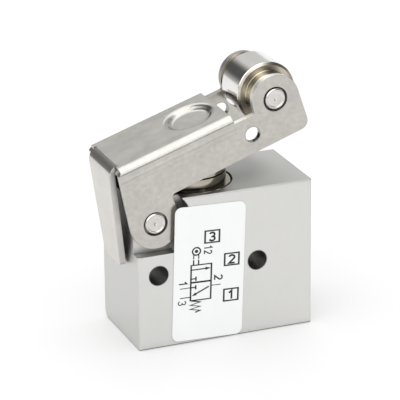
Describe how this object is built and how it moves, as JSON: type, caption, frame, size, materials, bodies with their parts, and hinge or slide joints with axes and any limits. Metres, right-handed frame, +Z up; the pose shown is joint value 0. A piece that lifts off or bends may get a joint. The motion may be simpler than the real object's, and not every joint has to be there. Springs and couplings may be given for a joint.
{
  "type": "miniature pneumatic valve",
  "caption": "Small block-shaped air valve with a sprung one-arm roller lever on top, threaded ports in the rear face and through holes for mounting.",
  "frame": {"origin": "centre of the body block's bottom face", "axes": "+Z up through the body to the lever, +X along the body towards the roller, +Y towards the face with the ports"},
  "size_m": [0.0333, 0.0161, 0.044],
  "materials": {
    "body_aluminium": "satin",
    "lever_steel": "brushed",
    "nickel": "satin",
    "bearing_steel": "polished",
    "collar_nickel": "satin",
    "hard_steel": "ground",
    "spring_steel": "drawn wire",
    "brass": "turned",
    "seal": "matte",
    "label": "printed film"
  },
  "bodies": {
    "valve": {"valve_body": "body_aluminium", "guide_bush": "nickel", "bush_cap": "nickel", "bush_seal": "seal", "stem_seal": "seal", "wiper_seal": "seal", "lower_seal": "seal", "upper_seal": "seal", "lower_sleeve": "brass", "middle_sleeve": "brass", "upper_sleeve": "brass", "spring_seat": "hard_steel", "return_spring": "spring_steel", "pivot_pin": "hard_steel", "label": "label"},
    "lever_arm": {"lever": "lever_steel", "roller_pin": "hard_steel"},
    "roller": {"roller_ring": "bearing_steel", "roller_hub": "collar_nickel"},
    "plunger_rod": {"plunger": "hard_steel", "spool": "brass"}
  },
  "joints": [
    {"name": "lever_hinge", "type": "hinge", "parent": "valve", "child": "lever_arm", "pos_m": [-0.0115, 0, 0.021], "axis": [0, 1, 0], "range_deg": [0, 10], "stiffness_Nm_per_rad": 0.12, "springref_deg": -25.78},
    {"name": "roller_spin", "type": "hinge", "parent": "lever_arm", "child": "roller", "pos_m": [0.00913, 0, 0.03904], "axis": [0, 1, 0], "continuous": true},
    {"name": "plunger_slide", "type": "slide", "parent": "valve", "child": "plunger_rod", "axis": [0, 0, -1], "range_m": [0, 0.00185], "deforming": ["return_spring"]}
  ],
  "couplings": [
    {"joint": "plunger_slide", "follows": "lever_hinge", "m_per_rad": 0.01058}
  ]
}
